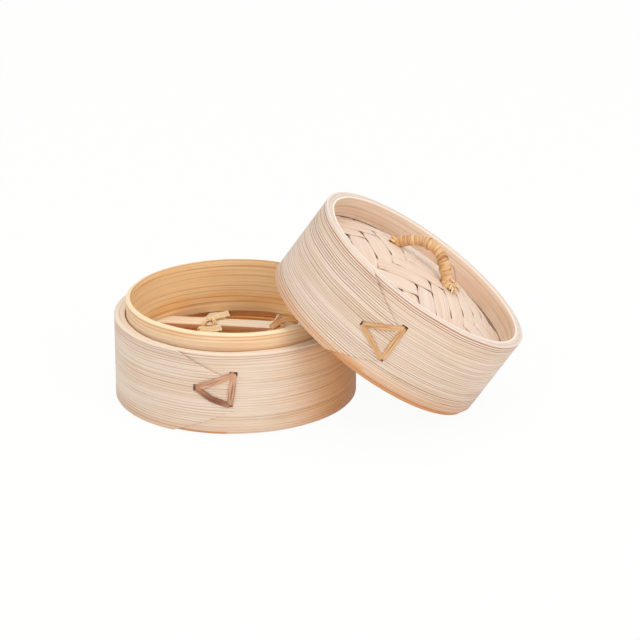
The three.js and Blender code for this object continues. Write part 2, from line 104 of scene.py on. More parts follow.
class Signal:
    """A number that varies over a surface, worked on with plain arithmetic"""
    def __init__(self, finish, socket):
        self.finish = finish
        self.socket = socket

    def maths(self, operation, *others):
        values = dict(enumerate((self, *others)))
        return self.finish.add("ShaderNodeMath", {"operation": operation}, values)

    def __add__(self, other):
        return self.maths("ADD", other)

    def __radd__(self, other):
        return self.maths("ADD", other)

    def __sub__(self, other):
        return self.maths("SUBTRACT", other)

    def __rsub__(self, other):
        return self.maths("MULTIPLY", -1) + other

    def __mul__(self, other):
        return self.maths("MULTIPLY", other)

    def __rmul__(self, other):
        return self.maths("MULTIPLY", other)

    def ramp(self, low, high):
        """0 at low and 1 at high, with a soft start and end"""
        settings = {"interpolation_type": "SMOOTHSTEP"}
        return self.finish.add("ShaderNodeMapRange", settings, {0: self, 1: low, 2: high})


class Finish:
    """The nodes of a material, or of the world"""
    def __init__(self, owner, surface="Principled BSDF", **plain):
        self.owner = owner
        owner.use_nodes = True
        self.tree = owner.node_tree
        self.surface = self.tree.nodes[surface]
        for name, value in plain.items():
            self.give(name.replace("_", " "), value)

    def add(self, kind, settings, values, output=0):
        node = self.tree.nodes.new(kind)
        for setting, value in settings.items():
            setattr(node, setting, value)
        for socket, value in values.items():
            self.feed(node.inputs[socket], value)
        return Signal(self, node.outputs[output])

    def feed(self, socket, value):
        if isinstance(value, Signal):
            self.tree.links.new(value.socket, socket)
        else:
            socket.default_value = value

    def give(self, name, value):
        """Feeds a socket of the surface itself"""
        self.feed(self.surface.inputs[name], value)

    def laid(self, name, number=0):
        """One of the two numbers of a piece's own map"""
        both = self.add("ShaderNodeUVMap", {"uv_map": name}, {})
        return self.add("ShaderNodeSeparateXYZ", {}, {0: both}, number)

    def grain(self):
        """Metres along the fibre and across it"""
        return self.laid("grain", 0), self.laid("grain", 1)

    def clouds(self, across, up, detail=1.5):
        """Soft noise about 0.5, one cloud for each unit of either number"""
        spot = self.add("ShaderNodeCombineXYZ", {}, {0: across, 1: up})
        values = {"Vector": spot, "Scale": 1, "Detail": detail}
        return self.add("ShaderNodeTexNoise", {"noise_dimensions": "2D"}, values)

    def blend(self, share, first, second):
        settings = {"data_type": "RGBA"}
        return self.add("ShaderNodeMix", settings, {0: share, 6: first, 7: second}, 2)

    def relief(self, height, depth):
        """Bumps of a real depth"""
        values = {"Height": height, "Distance": depth, "Strength": 1}
        self.give("Normal", self.add("ShaderNodeBump", {}, values))


def srgb(red, green, blue):
    """A colour written as it looks, 0 to 255"""
    def linear(level):
        share = level / 255
        return share / 12.92 if share <= 0.04045 else ((share + 0.055) / 1.055) ** 2.4
    return (linear(red), linear(green), linear(blue), 1)


def seen_directly(finish):
    """1 for what the camera sees, straight or in a reflection, and 0 for what lights the object"""
    outputs = finish.add("ShaderNodeLightPath", {}, {}).socket.node.outputs
    direct = Signal(finish, outputs["Is Camera Ray"])
    for other in ("Is Glossy Ray", "Is Transmission Ray"):
        direct = direct.maths("MAXIMUM", Signal(finish, outputs[other]))
    return direct


floor_finish = Finish(
    bpy.data.materials.new("floor_white"), Base_Color=srgb(243, 242, 240), Roughness=0.9,
    Specular_IOR_Level=0,
)
glow = floor_finish.add("ShaderNodeEmission", {}, {"Color": white, "Strength": 1})
shown = seen_directly(floor_finish) * floor_own_white
matt = Signal(floor_finish, floor_finish.surface.outputs[0])
mixed = floor_finish.add("ShaderNodeMixShader", {}, {0: shown, 1: matt, 2: glow})
floor_finish.feed(floor_finish.tree.nodes["Material Output"].inputs["Surface"], mixed)
floor.data.materials.append(floor_finish.owner)

world_strength = 0.7
world_tint = (1, 0.96, 0.9, 1)
studio = Finish(bpy.data.worlds.new("studio"), "Background")
bpy.context.scene.world = studio.owner
direct = seen_directly(studio)
studio.give("Color", studio.blend(direct, world_tint, white))
studio.give("Strength", direct * (1 - world_strength) + world_strength)


def soft_lamp(name, place, size, power, tint=(1, 1, 1)):
    """A square lamp that shines at the middle of the floor"""
    lamp = bpy.data.lights.new(name, "AREA")
    lamp.color = tint
    lamp.size = size
    lamp.energy = power
    holder = in_scene(name, lamp)
    holder.location = place
    holder.rotation_euler = (-Vector(place)).to_track_quat("-Z", "Y").to_euler()


soft_lamp("key_lamp", place=(-0.6, -1.25, 1), size=0.6, power=3.1)
soft_lamp("right_lamp", place=(0.85, -1.05, 1.1), size=0.8, power=7)
soft_lamp("front_lamp", place=(0.3, -1.5, 0.3), size=0.6, power=2, tint=(1, 0.8, 0.6))
soft_lamp("top_lamp", place=(0, 0, 1.5), size=1.2, power=4.6)
soft_lamp("left_lamp", place=(-1.3, -0.3, 0.6), size=0.8, power=1, tint=(0.92, 0.97, 1))

bpy.context.scene.view_settings.view_transform = "Standard"


# Tier, outer hoop: one long bamboo strip wound a little over twice, both ends shaved thin. The
# outer end is cut to a tongue that lies on the turn below it and is laced down.
tier_place = Matrix.Translation(tier_middle)
tier_radius = 50 * mm
tier_height = 35 * mm
tier_strip = 2.2 * mm
tier_wall = 4.75 * mm
tier_shaved = math.radians(85)
tier_tongue_end = math.radians(-1)
tier_top_cut = (24.1 * mm, 23.7 * mm)
tier_foot_cut = (26.2 * mm, 11 * mm)
tier_foot_rise = 0.9 * mm
windings = 2.08
hand_wobble = 0.12 * mm
rim_wobble = 0.16 * mm
cut_lift = 0.35 * mm
cut_lift_reach = 5 * mm
# Angle round the hoop, height, and the hole's width and height
tier_stitch_corners = [
    (math.radians(-18.9), 20 * mm, 2.4 * mm, 2.9 * mm),
    (math.radians(-1.2), 26.6 * mm, 3.2 * mm, 1.9 * mm),
    (math.radians(-2.9), 13.4 * mm, 2.2 * mm, 1.8 * mm),
]
tier_hole_depth = 12 * mm


def around(angle, radius, height):
    """A point on a round wall, its angle counted from the front"""
    return Vector((radius * math.sin(angle), -radius * math.cos(angle), height))


def soft_step(value, low, high):
    """0 at low and 1 at high, with a soft start and end"""
    share = min(1, max(0, (value - low) / (high - low)))
    return share * share * (3 - 2 * share)


def bow(across, width):
    """1 in the middle of a strip's width and 0 at its edges"""
    return 1 - (2 * across / width - 1) ** 2


def flat_sheet(length, width, steps_along, steps_across):
    """A flat sheet that starts at the origin, its fibres along X"""
    sheet = bmesh.new()
    bmesh.ops.create_grid(sheet, x_segments=steps_along, y_segments=steps_across, size=0.5)
    bmesh.ops.translate(sheet, vec=(0.5, 0.5, 0), verts=sheet.verts)
    bmesh.ops.scale(sheet, vec=(length, width, 1), verts=sheet.verts)
    return sheet


def trim(sheet, start, end):
    """Cuts off what lies to the left of the line from start to end"""
    along = Vector(end) - Vector(start)
    outwards = Vector((-along.y, along.x, 0))
    everything = sheet.verts[:] + sheet.edges[:] + sheet.faces[:]
    bmesh.ops.bisect_plane(
        sheet, geom=everything, plane_co=(*start, 0), plane_no=outwards, clear_outer=True
    )


def thicken(sheet, thickness, rounding):
    """Thickness below Z = 0, rounded edges, and the map that the grain follows"""
    bmesh.ops.solidify(sheet, geom=sheet.faces[:], thickness=thickness)
    top = max(vert.co.z for vert in sheet.verts)
    bmesh.ops.translate(sheet, vec=(0, 0, -top), verts=sheet.verts)
    bmesh.ops.recalc_face_normals(sheet, faces=sheet.faces)
    sharp = [edge for edge in sheet.edges if edge.calc_face_angle(0) > math.radians(50)]
    bmesh.ops.bevel(
        sheet, geom=sharp, offset=rounding, segments=2, profile=0.5,
        affect="EDGES", material=-1, clamp_overlap=True,
    )
    sheet.normal_update()
    grain = sheet.loops.layers.uv.new("grain")
    for face in sheet.faces:
        sideways = round(face.normal.y)
        endways = round(face.normal.x)
        for loop in face.loops:
            spot = loop.vert.co
            loop[grain].uv = (spot.x - endways * spot.z, spot.y - sideways * spot.z)
    return sheet


def bend(strip, rule):
    """Moves each point of a flat strip to where the rule says"""
    for vert in strip.verts:
        vert.co = rule(vert.co)
    return strip


def uneven(angle, level, row):
    """What a hand-shaped edge is off by, from -1 to 1"""
    return noise.noise(Vector((3 * math.cos(angle), 3 * math.sin(angle), 11 * level + 7 * row)))


def wound(radius, height, strip, wall, shaved, end, top_cut, foot_rise):
    """Bends a flat strip into a hoop of two turns, its outer end at an angle. The cut edge of the
    tongue stands off a little, and the foot of the outer turn rises above the inner one's."""
    along_cut = Vector((top_cut[0], height - top_cut[1]))
    spare = (wall - 2 * strip) / 2
    tip = 0.6 * spare
    gap = 2 * (spare - tip) / 3
    step = tip + gap

    def layer(turns):
        """The outer face's radius and the thickness, so many turns from the outer end"""
        from_end = math.radians(360 * min(turns, windings - turns))
        thickness = tip + (strip - tip) * soft_step(from_end, 0, shaved)
        if turns <= 1:
            return radius - step * turns, thickness
        above, above_thickness = layer(turns - 1)
        return above - above_thickness - gap, thickness

    def rule(spot):
        turns = min(windings, max(0, spot.x / (2 * math.pi * radius)))
        outer, thickness = layer(turns)
        angle = end - 2 * math.pi * turns
        wobble = hand_wobble * uneven(angle, 0, 0)
        from_cut = along_cut.cross(Vector((spot.x, spot.y - top_cut[1]))) / along_cut.length
        lifted = cut_lift * (1 - soft_step(-from_cut, 0, cut_lift_reach)) if turns < 0.5 else 0
        foot = foot_rise * soft_step(turns, 0.1, 0.5) * (1 - soft_step(turns, 0.93, 1.25))
        level = foot + spot.y * (1 - foot / height)
        level += rim_wobble * uneven(angle, turns, 1) * soft_step(spot.y, 0, radius / 2)
        return around(angle, outer + spot.z / strip * thickness + wobble + lifted, level)
    return rule


def hoop(strip, height, radius, wall, shaved, end, top_cut, foot_cut, foot_rise):
    """A wound hoop, its outer end cut from the top and from the foot to a pointed tongue"""
    steps_along, steps_up = 420, 14
    sheet = flat_sheet(2 * math.pi * radius * windings, height, steps_along, steps_up)
    trim(sheet, (0, top_cut[1]), (top_cut[0], height))
    trim(sheet, (foot_cut[0], 0), (0, foot_cut[1]))
    thicken(sheet, strip, 0.3 * mm)
    return bend(sheet, wound(radius, height, strip, wall, shaved, end, top_cut, foot_rise))


def bamboo(
    name, pale, warm, line, edge, width, spacing, strength, rim=0.6 * mm, rim_line=None,
    inside=None, warm_tone_and_shade=(), foot_shade=None,
):
    """Scraped bamboo: thin dark fibre lines in groups on a pale ground, and an edge colour near
    the cut edges. What along and across are multiplied by is the number of clouds in a metre. The
    warm stretches, partly painted shade, and the painted shade at the foot are counted along the
    strip from its outer end."""
    finish = Finish(bpy.data.materials.new(name))
    along, across = finish.grain()
    # The inner face's colours; on the collar they are partly the inner face's own tone and partly
    # painted warm bounce light
    if inside:
        within = finish.laid("side")
        pale = finish.blend(within, pale, inside[0])
        warm = finish.blend(within, warm, inside[1])
    level = across + finish.clouds(along * 9, across * 50) * (0.8 * mm)
    bands = finish.clouds(along * 3, level * 130)
    mottle = finish.clouds(along * 45, level * 260, 3)
    fibres = finish.clouds(along * 16, level * 3000, 2)

    # Dark lines: each one fades and comes back, and they run in groups and thicken at the rim
    phase = level * (1 / spacing) + finish.clouds(along * 4, level * 260) * 1.3
    number = phase.maths("FLOOR")
    below_rim = (width - across).ramp(7 * mm, 2 * mm)
    stripe = (phase.maths("FRACT") - 0.5).maths("ABSOLUTE").ramp(below_rim * 0.09 + 0.15, 0.03)
    fading = finish.clouds(along * 8, number * 5.3).ramp(0.27, 0.54)
    group = finish.clouds(along * 2.5, level * 105).ramp(0.36, 0.54)
    crowd = group.maths("MAXIMUM", below_rim) * 0.55 + 0.45
    marks = stripe * fading * crowd * strength

    skin = finish.blend((bands * 0.6 + mottle * 0.4).ramp(0.36, 0.64), pale, warm)
    # Warm stretches along the strip: the bamboo's own warmer tone, partly painted shade and warm
    # bounce light
    for start, end, colour in warm_tone_and_shade:
        patch = along.ramp(start, start + 50 * mm) * along.ramp(end, end - 50 * mm)
        skin = finish.blend(patch, skin, colour)
    skin = finish.blend(fibres.ramp(0.46, 0.72) * 0.32, skin, line)
    skin = finish.blend(marks, skin, finish.blend(below_rim, line, rim_line or line))
    # Edge colour near the cut edges and on the cut faces: a pale cut edge on the hoops, partly a
    # painted highlight on the collar's and lid rings' rims, and painted shade on the long sides of
    # the slats and bars
    to_edge = (across - width / 2).maths("ABSOLUTE").ramp(width / 2 - rim, width / 2)
    skin = finish.blend(to_edge * 0.85, skin, edge)
    # Painted shade at the foot: the inner turn's band under the outer turn's foot, and the strip's
    # bottom, darkened where shade falls
    if foot_shade:
        start, top, colour, tint = foot_shade
        foot = along.ramp(start, start + 4 * mm) * across.ramp(top, top * 0.6)
        foot = foot.maths("MAXIMUM", across.ramp(6 * mm, 0) * tint)
        skin = finish.blend(foot * (bands * 0.8 + 0.5), skin, colour)
    finish.give("Base Color", skin)
    finish.give("Roughness", mottle * 0.2 + 0.44 + marks * 0.1)
    finish.relief(fibres * 0.5 + bands * 0.3 - marks, 0.09 * mm)
    return finish.owner


def piece(name, shape, place, body, material, node):
    """A finished mesh in its place, that rides on a body and stands for a CAD node"""
    bmesh.ops.recalc_face_normals(shape, faces=shape.faces)
    shape.transform(place)
    mesh = settle(shape, name)
    mesh.materials.append(material)
    mesh.shade_smooth()
    mesh.set_sharp_from_angle(angle=math.radians(40))
    thing = in_scene(name, mesh)
    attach(thing, body)
    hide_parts(node)
    return thing


def pierce(thing, cutters):
    """Cuts holes of closed shapes, which are then thrown away"""
    cutter = in_scene("cutter", settle(cutters, "cutter"))
    cut = thing.modifiers.new("holes", "BOOLEAN")
    cut.operation = "DIFFERENCE"
    cut.solver = "EXACT"
    cut.object = cutter
    bpy.context.view_layer.update()
    result = thing.evaluated_get(bpy.context.evaluated_depsgraph_get())
    cut_mesh = bpy.data.meshes.new_from_object(result)
    thing.modifiers.clear()
    thing.data = cut_mesh
    bpy.data.objects.remove(cutter)


def stitch_holes(corners, radius, depth, place):
    """A closed block for the hole at each corner of a stitch"""
    cutters = bmesh.new()
    for angle, height, wide, tall in corners:
        block = bmesh.ops.create_cube(cutters, size=1)["verts"]
        bmesh.ops.scale(cutters, vec=(wide, depth, tall), verts=block)
        turn = Matrix.Rotation(angle, 3, "Z")
        bmesh.ops.rotate(cutters, cent=(0, 0, 0), matrix=turn, verts=block)
        bmesh.ops.translate(cutters, vec=around(angle, radius, height), verts=block)
    cutters.transform(place)
    return cutters


tier_bamboo = bamboo(
    "scraped_bamboo", pale=srgb(229, 213, 198), warm=srgb(225, 202, 179),
    line=srgb(144, 94, 50), edge=srgb(240, 226, 208), rim_line=srgb(146, 84, 40),
    width=tier_height, spacing=1.15 * mm, strength=0.6,
    # On the tier's right, where the lid leans over it, these warm stretches are partly painted
    # shade and warm bounce light
    warm_tone_and_shade=[
        (150 * mm, 305 * mm, srgb(254, 192, 130)), (330 * mm, 720 * mm, srgb(252, 182, 112)),
    ],
    # Painted shade on the inner turn's band below the outer turn's foot and along the bottom
    foot_shade=(315 * mm, 1.3 * mm, srgb(196, 132, 80), 0.25),
)
tier_hoop = piece(
    "tier_wound_hoop",
    hoop(tier_strip, tier_height, tier_radius, tier_wall, tier_shaved, tier_tongue_end,
         tier_top_cut, tier_foot_cut, tier_foot_rise),
    tier_place, "tier", tier_bamboo, "tier_outer_hoop",
)
pierce(tier_hoop, stitch_holes(tier_stitch_corners, tier_radius, tier_hole_depth, tier_place))


# Tier, collar and lower hoop: two rings bent from thinner strips, each with its ends shaved and
# lapped. The collar stands proud for the lid, and the lower one carries the grate.
ring_thickness = 1.8 * mm
ring_outer = 45.1 * mm
collar_foot = 18.4 * mm
collar_top = 42 * mm
collar_slope = 0.75 * mm
lower_foot = 8 * mm
lower_top = 15.7 * mm
lap_length = 26 * mm
shaved_end = 0.05 * mm


def lapped(outer, thickness, start):
    """Bends a flat strip into a ring of one turn, its shaved ends lying on each other"""
    turn = 2 * math.pi * outer

    def rule(spot):
        outer_end = soft_step(spot.x, 0, lap_length)
        tucked_in = soft_step(spot.x, turn, turn + lap_length)
        least = shaved_end / thickness
        share = least + (1 - least) * min(outer_end, 1 - tucked_in)
        angle = start - spot.x / outer
        wobble = hand_wobble * uneven(angle, 0, 0)
        height = spot.y + hand_wobble * uneven(angle, 0, 3) * soft_step(spot.y, 0, outer / 2)
        return around(angle, outer - thickness * tucked_in + spot.z * share + wobble, height)
    return rule


def map_points(sheet):
    return [loop for face in sheet.faces for loop in face.loops]


def lapped_ring(outer, thickness, foot, top, rounding, start, slope=0.0):
    """A ring whose top edge slopes down outwards, with a map that is 0 on its outer side and 1 on
    its inner one"""
    steps_along, steps_up = 260, 8
    sheet = flat_sheet(2 * math.pi * outer + lap_length, top - foot, steps_along, steps_up)
    thicken(sheet, thickness, rounding)
    side = sheet.loops.layers.uv.new("side")
    for loop in map_points(sheet):
        loop[side].uv = (-loop.vert.co.z / thickness, 0)
    for vert in sheet.verts:
        if vert.co.y > top - foot - 1.5 * rounding:
            vert.co.y -= slope * (1 + vert.co.z / thickness)
    bend(sheet, lapped(outer, thickness, start))
    bmesh.ops.translate(sheet, vec=(0, 0, foot), verts=sheet.verts)
    return sheet


# The collar's pale edge colour is partly the pale cut edge and partly a painted highlight on its
# rim
collar_bamboo = bamboo(
    "inner_bamboo", pale=srgb(238, 213, 180), warm=srgb(232, 193, 144),
    line=srgb(196, 116, 60), edge=srgb(246, 226, 190), rim=0.8 * mm,
    width=collar_top - collar_foot, spacing=2.4 * mm, strength=0.5,
    # The warmer inner face is partly painted warm bounce light inside the tier
    inside=(srgb(248, 216, 168), srgb(245, 196, 132)),
)
# The lower hoop's saturated orange is partly the bamboo's warm tone and mostly painted warm bounce
# light in the shade under the grate
lower_bamboo_painted_bounce = bamboo(
    "lower_hoop_painted_bounce", pale=srgb(255, 176, 76), warm=srgb(255, 152, 48),
    line=srgb(190, 84, 24), edge=srgb(246, 196, 130),
    width=lower_top - lower_foot, spacing=2.4 * mm, strength=0.5,
)
collar = piece(
    "tier_bent_collar",
    lapped_ring(ring_outer, ring_thickness, collar_foot, collar_top, rounding=0.4 * mm,
                start=math.radians(100), slope=collar_slope),
    tier_place, "tier", collar_bamboo, "tier_collar",
)
piece(
    "tier_bent_lower_hoop",
    lapped_ring(ring_outer, ring_thickness, lower_foot, lower_top, rounding=0.3 * mm,
                start=math.radians(60)),
    tier_place, "tier", lower_bamboo_painted_bounce, "tier_lower_hoop",
)


# Grate: four split bamboo slats over two cross bars, trapped between the collar and the lower
# hoop. Each is planed flat, a little crowned on top, and cut to the round of the hoop.
grate_turn = math.radians(-10)
grate_place = tier_place @ Matrix.Rotation(grate_turn, 4, "Z")
grate_radius = 44.65 * mm
grate_top = 20.3 * mm
slat_width = 8.8 * mm
slat_thickness = 2 * mm
slat_pitch = 16.4 * mm
slat_count = 4
slat_crown = 0.3 * mm
slot_height = 8 * mm
slot_above = 0.2 * mm
slot_beside = 0.25 * mm
bar_width = 8.5 * mm
bar_thickness = 2 * mm
bar_top = 18 * mm
bar_spacing = 29.2 * mm
bar_crown = 0.2 * mm
planed_edge = 0.45 * mm
side_wobble = 0.18 * mm
slat_offsets = [slat_pitch * (number - (slat_count - 1) / 2) for number in range(slat_count)]
bar_offsets = {"left": -bar_spacing / 2, "right": bar_spacing / 2}


def grate_strip(offset, width, thickness, top, crown):
    """A strip across the tier, its ends on a circle, its middle a little higher"""
    steps_along, steps_across = 60, 8
    sheet = flat_sheet(1, width, steps_along, steps_across)
    for vert in sheet.verts:
        across = vert.co.y - width / 2 + offset
        half = math.sqrt(grate_radius**2 - across**2)
        vert.co.x = (2 * vert.co.x - 1) * half
    thicken(sheet, thickness, planed_edge)

    def rule(spot):
        wave = noise.noise(Vector((spot.x * 40, offset * 900, 3)))
        side = noise.noise(Vector((spot.x * 30, offset * 700, 8)))
        rise = hand_wobble * wave + crown * (bow(spot.y, width) - 1)
        across = spot.y - width / 2 + offset + side_wobble * side
        return Vector((spot.x, across, top + spot.z + rise))
    return bend(sheet, rule)


# The dark orange edge colour is painted shade on the long sides of the slats and bars, which face
# away from the light
slat_bamboo = bamboo(
    "planed_bamboo", pale=srgb(255, 248, 232), warm=srgb(253, 238, 212),
    line=srgb(214, 160, 108), edge=srgb(206, 130, 62),
    width=slat_width, spacing=2.2 * mm, strength=0.3,
)
for number, offset in enumerate(slat_offsets, 1):
    piece(
        f"grate_planed_slat_{number}",
        grate_strip(offset, slat_width, slat_thickness, grate_top, slat_crown),
        grate_place, "tier", slat_bamboo, f"grate_slat_{number}",
    )
slots = bmesh.new()
slot_size = (2 * tier_radius, slat_width + 2 * slot_beside, slot_height)
slot_middle = grate_top + slot_above - slot_height / 2
for offset in slat_offsets:
    block = bmesh.ops.create_cube(slots, size=1)["verts"]
    bmesh.ops.scale(slots, vec=slot_size, verts=block)
    bmesh.ops.translate(slots, vec=(0, offset, slot_middle), verts=block)
slots.transform(grate_place)
pierce(collar, slots)
quarter_turn = Matrix.Rotation(math.radians(90), 4, "Z")
for side, along in bar_offsets.items():
    piece(
        f"grate_planed_bar_{side}",
        grate_strip(-along, bar_width, bar_thickness, bar_top, bar_crown),
        grate_place @ quarter_turn, "tier", slat_bamboo, f"grate_bar_{side}",
    )


# Lashings: a flat rattan strand ties each slat to each bar. It crosses over the slat, goes down
# beside it and runs under the bar. A flat end is left at one bar, and a loose loop at the other.
lash_width = 2 * mm
lash_over_width = 1.8 * mm
lash_thickness = 0.5 * mm
lash_bend = 1.2 * mm
loop_bend = 3 * mm
loop_thickness = 0.45 * mm


def rounded(points, radius, steps=5):
    """A line of points with its corners rounded"""
    line = [points[0]]
    for before, corner, after in zip(points, points[1:], points[2:]):
        reach = min(radius, (before - corner).length / 2, (after - corner).length / 2)
        first = corner + (before - corner).normalized() * reach
        last = corner + (after - corner).normalized() * reach
        for step in range(steps + 1):
            share = step / steps
            line.append(first.lerp(corner, share).lerp(corner.lerp(last, share), share))
    line.append(points[-1])
    return line


def fold_grain(sheet, width, start=0.0):
    """Counts the map's second number from the nearer edge of a strand, so that both edges get the
    painted edge shade
    """
    grain = sheet.loops.layers.uv["grain"]
    for loop in map_points(sheet):
        along, across = loop[grain].uv
        loop[grain].uv = (along + start, width / 2 - abs(across - width / 2))
    return sheet


def measured(points):
    """How far along a line of points each of them lies"""
    lengths = [0.0]
    for before, after in zip(points, points[1:]):
        lengths.append(lengths[-1] + (after - before).length)
    return lengths


def stretch_at(lengths, travel):
    """The number of the stretch that this much travel ends in, and the share of it"""
    number = min(len(lengths) - 2, max(0, bisect.bisect_right(lengths, travel) - 1))
    span = lengths[number + 1] - lengths[number]
    return number, (travel - lengths[number]) / max(span, 1e-9)


def strap(points, across, width, thickness, taper=0.0, start=0.0):
    """A flat strand along a line of points; across is its width's direction at each of them, and
    start is where its grain begins, so that no two strands look alike"""
    step = 0.5 * mm
    lengths = measured(points)
    total = lengths[-1]
    sheet = flat_sheet(total, width, max(4, round(total / step)), 4)
    thicken(sheet, thickness, min(width, thickness) * 0.3)

    def at(travel):
        """The line's point and the width's direction after this much travel"""
        number, share = stretch_at(lengths, travel)
        middle = points[number].lerp(points[number + 1], share)
        return middle, across[number].lerp(across[number + 1], share)

    def rule(spot):
        travel = min(total, max(0, spot.x))
        middle, sideways = at(travel)
        ahead = at(min(total, travel + step / 2))[0] - at(max(0, travel - step / 2))[0]
        outwards = ahead.cross(sideways).normalized()
        sideways = outwards.cross(ahead).normalized()
        narrow = 1 - taper * (1 - soft_step(min(travel, total - travel), 0, 3 * mm))
        lateral = (spot.y - width / 2) * narrow
        crown = 0.25 * thickness * bow(spot.y, width)
        return middle + sideways * lateral + outwards * (spot.z + thickness / 2 + crown)
    return fold_grain(bend(sheet, rule), width, start)


def gather(parts):
    """Several closed shapes in one mesh"""
    whole = bmesh.new()
    for layer in parts[0].loops.layers.uv.keys():
        whole.loops.layers.uv.new(layer)
    for part in parts:
        mesh = settle(part, "part")
        whole.from_mesh(mesh)
        bpy.data.meshes.remove(mesh)
    return whole


def rattan(name, pale, deep, shade, rough=0.5, edge=0.75):
    """Split rattan: long shiny fibres with darker streaks, and painted shade along its edges where
    strands and turns meet
    """
    finish = Finish(bpy.data.materials.new(name))
    along, across = finish.grain()
    fibres = finish.clouds(along * 60, across * 3600, 3)
    patches = finish.clouds(along * 130, across * 500)
    streaks = finish.clouds(along * 90, across * 2200).ramp(0.56, 0.7)
    tone = (fibres * 0.45 + patches * 0.55).ramp(0.36, 0.62)
    skin = finish.blend(tone, deep, pale)
    skin = finish.blend(streaks * 0.5, skin, shade)
    # Painted shade along each strand's edges, for the shade in the grooves between turns and
    # strands
    skin = finish.blend(across.ramp(0.32 * mm, -0.1 * mm) * edge, skin, shade)
    finish.give("Base Color", skin)
    finish.give("Roughness", fibres * 0.25 + (rough - 0.12))
    finish.relief(fibres - streaks * 0.6, 0.08 * mm)
    return finish.owner


def lashing(seed, looped):
    """Two strands over the slat that cross near its back edge, and a band round the bar in front
    of the slat and behind it that holds them, with a flat free end or a loop"""
    draw = random.Random(seed)
    side_x = bar_width / 2 + 0.6 * mm
    side_y = slat_width / 2 + 0.5 * mm
    band_y = side_y + 0.75 * mm
    high = grate_top + 0.65 * mm
    on_bar = bar_top + 0.35 * mm
    band_top = on_bar + 0.75 * mm
    low = bar_top - bar_thickness - 0.5 * mm

    def spot(x, y, z, spread=0.3):
        wander = Vector((draw.uniform(-spread, spread), draw.uniform(-spread, spread), 0)) * mm
        return Vector((x, y, z)) + wander

    parts = []
    for number, (front_x, back_x) in enumerate(((-2.5 * mm, 0.9 * mm), (2.3 * mm, -1.1 * mm))):
        above = high + number * lash_thickness
        line = rounded([
            spot(front_x, -side_y, on_bar), spot(front_x, -side_y, above),
            spot(back_x, side_y, above), spot(back_x, side_y, on_bar),
        ], lash_bend)
        flat = [Vector((1, 0, 0))] * len(line)
        start = seed * 0.37 + number
        parts.append(strap(line, flat, lash_over_width, lash_thickness, start=start))
    for number, y in enumerate((-band_y, band_y)):
        line = rounded([
            spot(0.4 * mm, y, low), spot(-side_x, y, low), spot(-side_x, y, band_top),
            spot(side_x, y, band_top), spot(side_x, y, low), spot(-0.4 * mm, y, low),
        ], lash_bend)
        flat = [Vector((0, 1, 0.25))] * len(line)
        parts.append(strap(line, flat, lash_width, lash_thickness, start=seed * 0.71 + number))

    # Width and points in millimetres, the height counted from the strands over the slat
    if looped:
        arches = [
            (2.8, [(-2.4, -4.6, -0.6), (-0.8, -2, 1.4), (3.2, 0.6, 2.2), (7, 1.8, 0.4)]),
            (1.1, [(-1.4, 0, 0.4), (0, 1.8, 2.6), (4, 3, 3.2), (7.6, 3.2, 0.2)]),
        ]
    else:
        arches = [(2.9, [(-1.6, -1.2, 0.7), (1.4, 1.4, 1), (6.8, 4.6, 1.2)])]
    for wide, corners in arches:
        shape = [spot(x * mm, y * mm, high + z * mm, 0.5) for x, y, z in corners]
        line = rounded(shape, loop_bend)
        across = (shape[-1] - shape[0]).cross(Vector((0, 0, 1))).normalized()
        leaning = [(across - Vector((0, 0, 0.9))).normalized()] * len(line)
        parts.append(strap(line, leaning, wide * mm, loop_thickness, start=seed * 0.53))
    return gather(parts)


lash_rattan = {
    "left": rattan(
        "golden_rattan", pale=srgb(250, 228, 184), deep=srgb(240, 202, 146),
        shade=srgb(186, 124, 66),
    ),
    "right": rattan(
        "warm_rattan", pale=srgb(238, 194, 134), deep=srgb(214, 150, 88),
        shade=srgb(140, 80, 38),
    ),
}
for number, offset in enumerate(slat_offsets, 1):
    for side, along in bar_offsets.items():
        looped = side == "right"
        piece(
            f"grate_rattan_{number}_{side}", lashing(number * 2 + looped, looped),
            grate_place @ Matrix.Translation((along, offset, 0)), "tier",
            lash_rattan[side], f"grate_lashing_{number}_{side}",
        )


# Tier stitch: flat rattan laced in a triangle through the tongue, the hoop and the collar. Each
# side has two strands that come out of one hole and go back into the next.
tier_lace_width = 1.25 * mm
tier_lace_thickness = 0.55 * mm
tier_lace_shift = 0.58 * mm
# How far each side of the triangle hangs; the one that does is stained too
tier_lace_sags = (0, 0, 0.9 * mm)
lace_depth = 2.6 * mm
lace_stand = 0.4 * mm
lace_bend = 0.7 * mm


def laced_side(radius, start, end, width, thickness, shift, seed, sag=0.0):
    """A strand on a wall from one corner to another, with its ends bent into the holes"""
    first = Vector((start[0] * radius, start[1], 0))
    last = Vector((end[0] * radius, end[1], 0))
    ahead = (last - first).normalized()
    sideways = Vector((-ahead.y, ahead.x, 0))
    draw = random.Random(seed)
    sunk = Vector((0, 0, -lace_depth))
    raised = Vector((0, 0, lace_stand))
    first = first + sideways * shift * draw.uniform(0.7, 1)
    last = last + sideways * shift * draw.uniform(0.7, 1)
    middle = first.lerp(last, 0.5) + raised * 1.3 + sideways * (shift * 0.3 + sag)
    line = rounded([first + sunk, first + raised, middle, last + raised, last + sunk], lace_bend)
    strand = strap(line, [-sideways] * len(line), width, thickness, start=seed * 0.29)
    return bend(strand, lambda spot: around(spot.x / radius, radius + spot.z, spot.y))


def laced_pair(corners, number, radius, width, thickness, shift, seeds, sag=0.0):
    """The two strands beside each other on one side of a stitch"""
    start, end = corners[number], corners[(number + 1) % 3]
    return [
        laced_side(radius, start, end, width, thickness, aside, seed, sag)
        for aside, seed in zip((-shift, shift), seeds)
    ]


